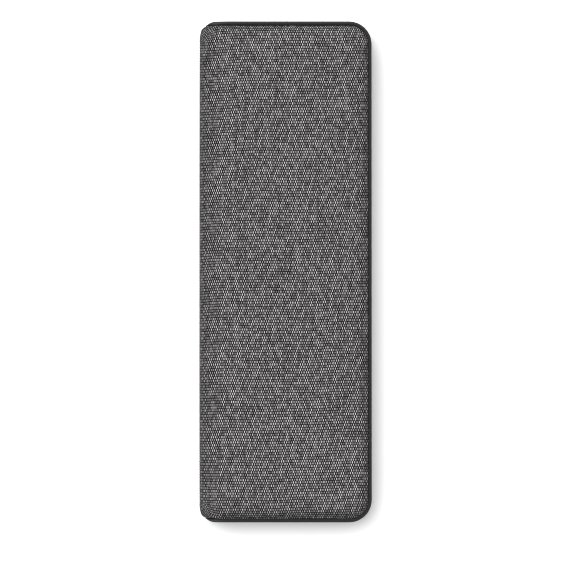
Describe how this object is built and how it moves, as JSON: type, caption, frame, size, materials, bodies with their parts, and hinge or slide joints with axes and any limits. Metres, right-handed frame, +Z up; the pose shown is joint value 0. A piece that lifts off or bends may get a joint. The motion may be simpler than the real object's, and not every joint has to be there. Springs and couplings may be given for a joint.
{
  "type": "wrist rest",
  "caption": "Low rectangular wrist rest: fabric-covered foam pad that rolls over the front edge, set in a dark moulded tray with a slim rim at the back and ends, on non-slip feet.",
  "frame": {"origin": "centre of the desk plane under the four feet, midway along the length and midway between the fabric's front edge and the tray's back wall", "axes": "+X along the length, to the user's right; +Y from the user to the keyboard (the fabric rolls over the -Y edge); +Z up"},
  "size_m": [0.2032, 0.0698, 0.019],
  "materials": {
    "woven_fabric": "matte",
    "tray_plastic": "satin",
    "board_plastic": "matte",
    "firm_foam": "matte",
    "soft_foam": "matte",
    "adhesive_tape": "matte",
    "adhesive_film": "satin",
    "screw_steel": "satin",
    "foot_silicone": "matte"
  },
  "bodies": {
    "root": {"base_tray": "tray_plastic", "support_board": "board_plastic", "hem_tape": "adhesive_tape", "core_adhesive_film": "adhesive_film", "foam_core": "firm_foam", "comfort_foam": "soft_foam", "fabric_cover": "woven_fabric", "tray_screws": "screw_steel", "foot_front_left": "foot_silicone", "foot_front_right": "foot_silicone", "foot_back_left": "foot_silicone", "foot_back_right": "foot_silicone", "foot_tape_front_left": "adhesive_tape", "foot_tape_front_right": "adhesive_tape", "foot_tape_back_left": "adhesive_tape", "foot_tape_back_right": "adhesive_tape"}
  },
  "joints": []
}
